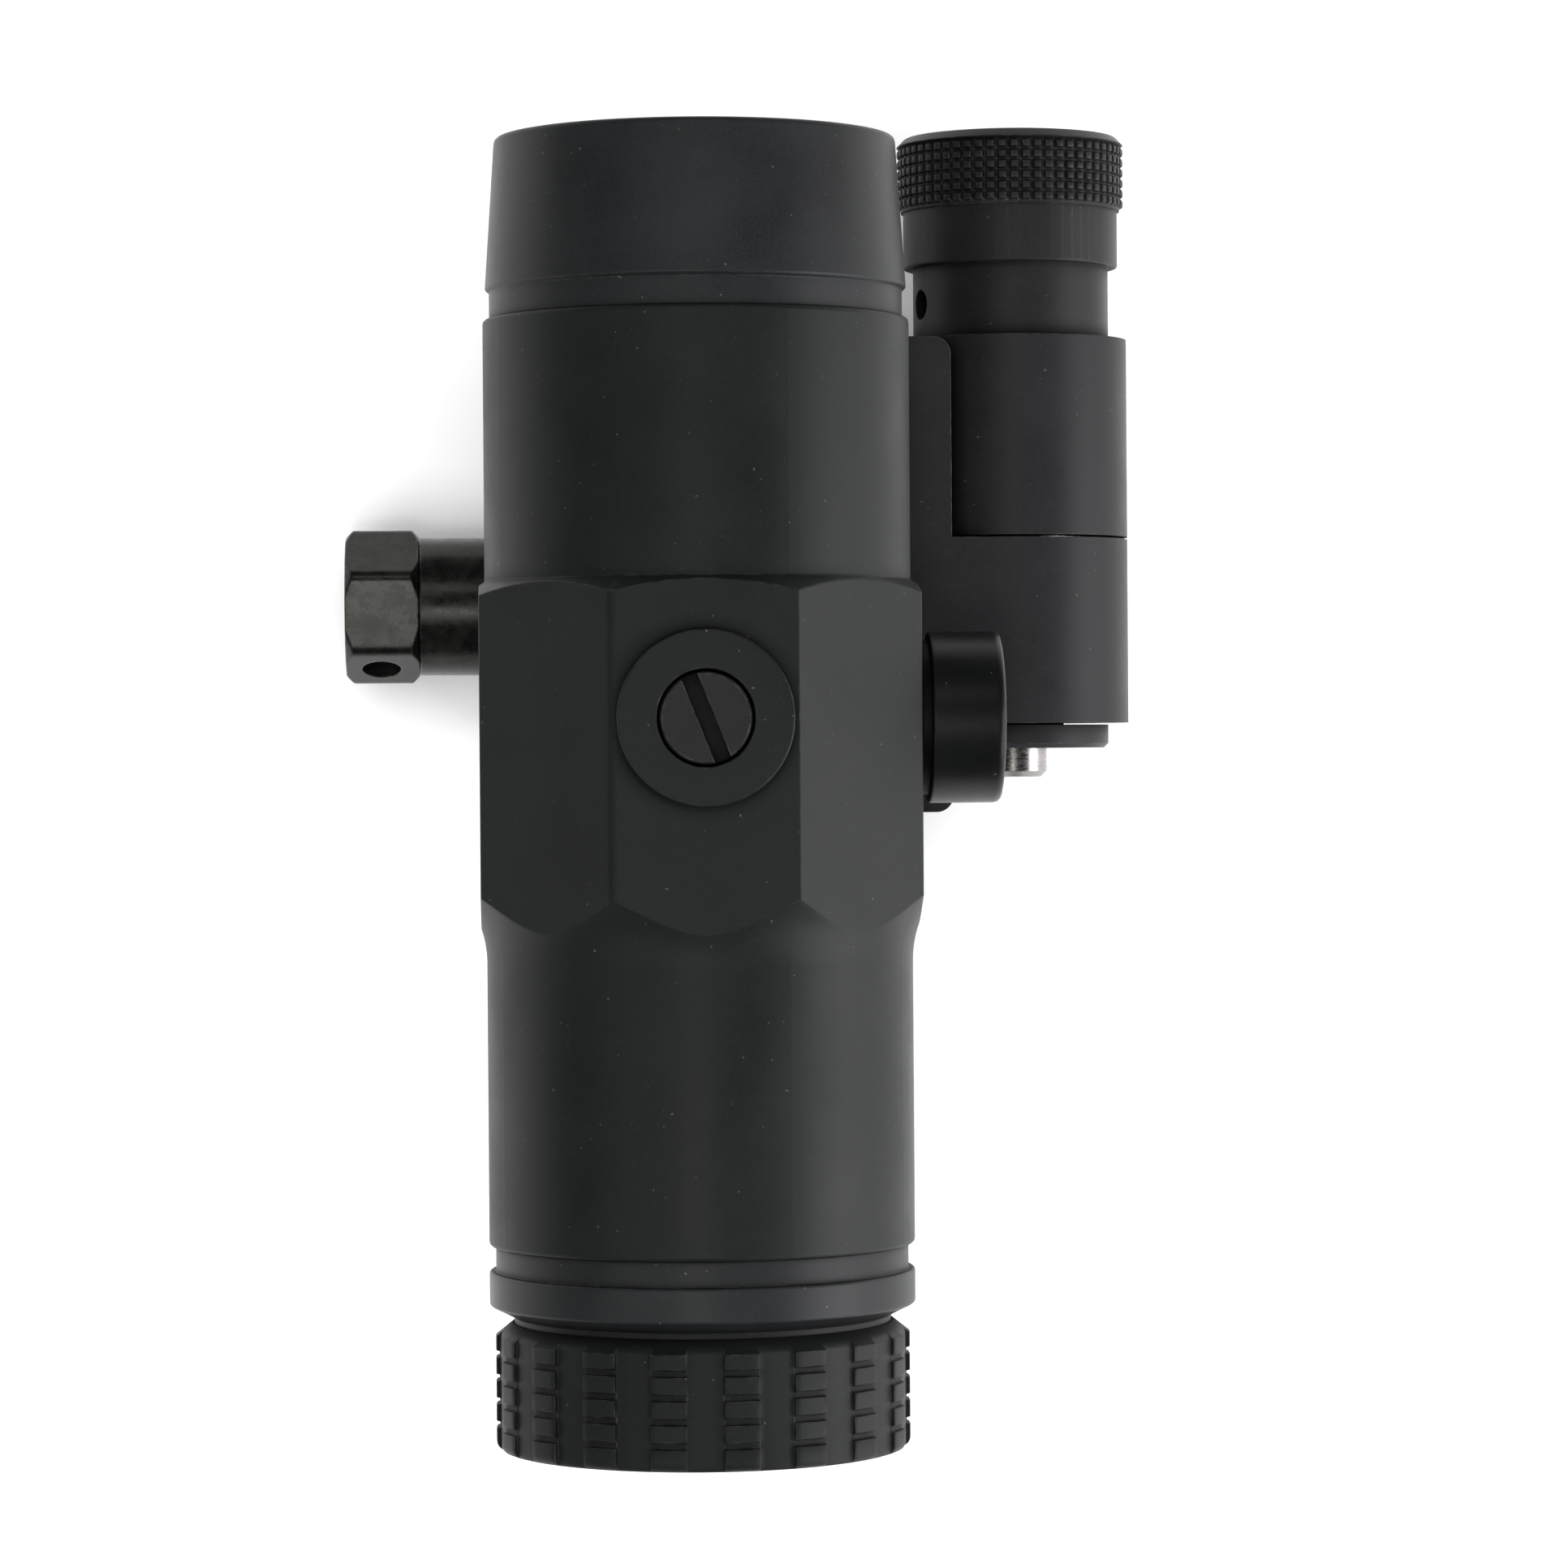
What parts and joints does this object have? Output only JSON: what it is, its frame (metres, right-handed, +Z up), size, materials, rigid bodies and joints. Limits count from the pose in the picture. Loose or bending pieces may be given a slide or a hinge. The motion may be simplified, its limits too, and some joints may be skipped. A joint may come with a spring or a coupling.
{
  "type": "flip-to-side optical magnifier",
  "caption": "Black anodised optical magnifier with a ribbed focus ring and slotted adjusters on a push-button flip-to-side hinge over an accessory rail clamp.",
  "frame": {"origin": "middle of the rail seat, on the rail's centreline, at the clamp bolt's station", "axes": "+Z up from the rail, +Y forward along the optical axis to the objective, +X to the hinge side"},
  "size_m": [0.07, 0.1125, 0.0652],
  "materials": {
    "tube_anodised": "black hard anodised, fine satin",
    "bell_anodised": "black anodised, smooth satin",
    "ring_matte": "black matte anodised, ribbed",
    "inner_black": "dull blackened inner surfaces",
    "adjuster_screw": "black anodised slotted screw",
    "mount_anodised": "black hard anodised mount",
    "button_anodised": "black anodised, knurled head",
    "nut_steel": "black oxide steel, slightly glossy",
    "rod_steel": "bright turned steel",
    "black_fastener": "black oxide screws and pins",
    "spring_steel": "bare spring steel",
    "brass": "turned brass",
    "objective_coating": "coated optical glass",
    "eye_coating": "coated optical glass",
    "seal_rubber": "black rubber"
  },
  "bodies": {
    "base": {"rail_base": "mount_anodised", "hinge_sleeve": "rod_steel", "rod_bush": "mount_anodised", "end_cap": "mount_anodised", "clamp_bolt": "nut_steel", "jaw_guide_pins": "nut_steel", "stop_pads": "seal_rubber"},
    "clamp_jaw": {"clamp_jaw": "mount_anodised", "clamp_collar": "nut_steel"},
    "clamp_nut": {"clamp_nut": "nut_steel"},
    "release_button": {"hinge_rod": "rod_steel", "release_knob": "button_anodised", "knob_pin": "black_fastener", "lock_collar": "rod_steel", "return_spring": "spring_steel"},
    "magnifier": {"flip_arm": "mount_anodised", "spacer_plate": "mount_anodised", "arm_screws": "black_fastener", "main_tube": "tube_anodised", "objective_bell": "bell_anodised", "objective_crown": "objective_coating", "objective_flint": "objective_coating", "objective_retainer": "inner_black", "objective_seal": "seal_rubber", "rear_collar": "bell_anodised", "cell_key": "black_fastener", "pivot_carrier": "inner_black", "gimbal_outer_pins": "brass", "bias_spring": "spring_steel", "elevation_turret": "tube_anodised", "elevation_seal": "seal_rubber", "windage_turret": "tube_anodised", "windage_seal": "seal_rubber"},
    "elevation_screw": {"elevation_screw": "adjuster_screw"},
    "elevation_plunger": {"elevation_plunger": "brass"},
    "windage_screw": {"windage_screw": "adjuster_screw"},
    "windage_plunger": {"windage_plunger": "brass"},
    "gimbal_ring": {"gimbal_ring": "inner_black", "gimbal_inner_pins": "brass"},
    "erector": {"erector_tube": "inner_black", "erector_front_lens": "eye_coating", "erector_front_ring": "inner_black", "erector_rear_lens": "eye_coating", "erector_rear_ring": "inner_black"},
    "eyepiece_cell": {"eyepiece_cell": "inner_black", "eyepiece_front_lens": "eye_coating", "eyepiece_rear_lens": "eye_coating", "eyepiece_spacer": "inner_black", "eyepiece_retainer": "inner_black"},
    "focus_ring": {"focus_ring": "ring_matte", "cell_snap_ring": "black_fastener"}
  },
  "joints": [
    {"name": "flip", "type": "hinge", "parent": "base", "child": "magnifier", "pos_m": [0.0292, 0, 0.0075], "axis": [0, 1, 0], "range_deg": [0, 90]},
    {"name": "release_press", "type": "slide", "parent": "base", "child": "release_button", "axis": [0, -1, 0], "range_m": [0, 0.0045], "stiffness_N_per_m": 1500, "springref_m": -0.004, "deforming": ["return_spring"]},
    {"name": "clamp_travel", "type": "slide", "parent": "base", "child": "clamp_jaw", "axis": [-1, 0, 0], "range_m": [0, 0.004]},
    {"name": "nut_turn", "type": "hinge", "parent": "clamp_jaw", "child": "clamp_nut", "pos_m": [0, 0, -0.0004], "axis": [-1, 0, 0], "range_deg": [0, 1442]},
    {"name": "focus_turn", "type": "hinge", "parent": "eyepiece_cell", "child": "focus_ring", "pos_m": [0, 0, 0.039], "axis": [0, -1, 0], "range_deg": [-19, 217]},
    {"name": "focus_travel", "type": "slide", "parent": "magnifier", "child": "eyepiece_cell", "axis": [0, -1, 0], "range_m": [-0.0002, 0.0024]},
    {"name": "elevation_turn", "type": "hinge", "parent": "magnifier", "child": "elevation_screw", "pos_m": [0, -0.0105, 0.039], "axis": [0, 0, -1], "range_deg": [-361, 361]},
    {"name": "elevation_travel", "type": "slide", "parent": "magnifier", "child": "elevation_plunger", "axis": [0, 0, -1], "range_m": [-0.0005, 0.0005]},
    {"name": "windage_turn", "type": "hinge", "parent": "magnifier", "child": "windage_screw", "pos_m": [0, -0.0105, 0.039], "axis": [-1, 0, 0], "range_deg": [-361, 361]},
    {"name": "windage_travel", "type": "slide", "parent": "magnifier", "child": "windage_plunger", "axis": [-1, 0, 0], "range_m": [-0.0005, 0.0005]},
    {"name": "erector_elevation", "type": "hinge", "parent": "magnifier", "child": "gimbal_ring", "pos_m": [0, -0.044, 0.039], "axis": [-1, 0, 0], "range_deg": [-0.9, 0.9]},
    {"name": "erector_windage", "type": "hinge", "parent": "gimbal_ring", "child": "erector", "pos_m": [0, -0.044, 0.039], "axis": [0, 0, 1], "range_deg": [-0.9, 0.9]}
  ],
  "couplings": [
    {"joint": "nut_turn", "follows": "clamp_travel", "rad_per_m": 6283.2},
    {"joint": "focus_turn", "follows": "focus_travel", "rad_per_m": 1570.8},
    {"joint": "elevation_turn", "follows": "elevation_travel", "rad_per_m": 12566},
    {"joint": "erector_elevation", "follows": "elevation_travel", "rad_per_m": 29.851},
    {"joint": "windage_turn", "follows": "windage_travel", "rad_per_m": 12566},
    {"joint": "erector_windage", "follows": "windage_travel", "rad_per_m": 29.851}
  ]
}
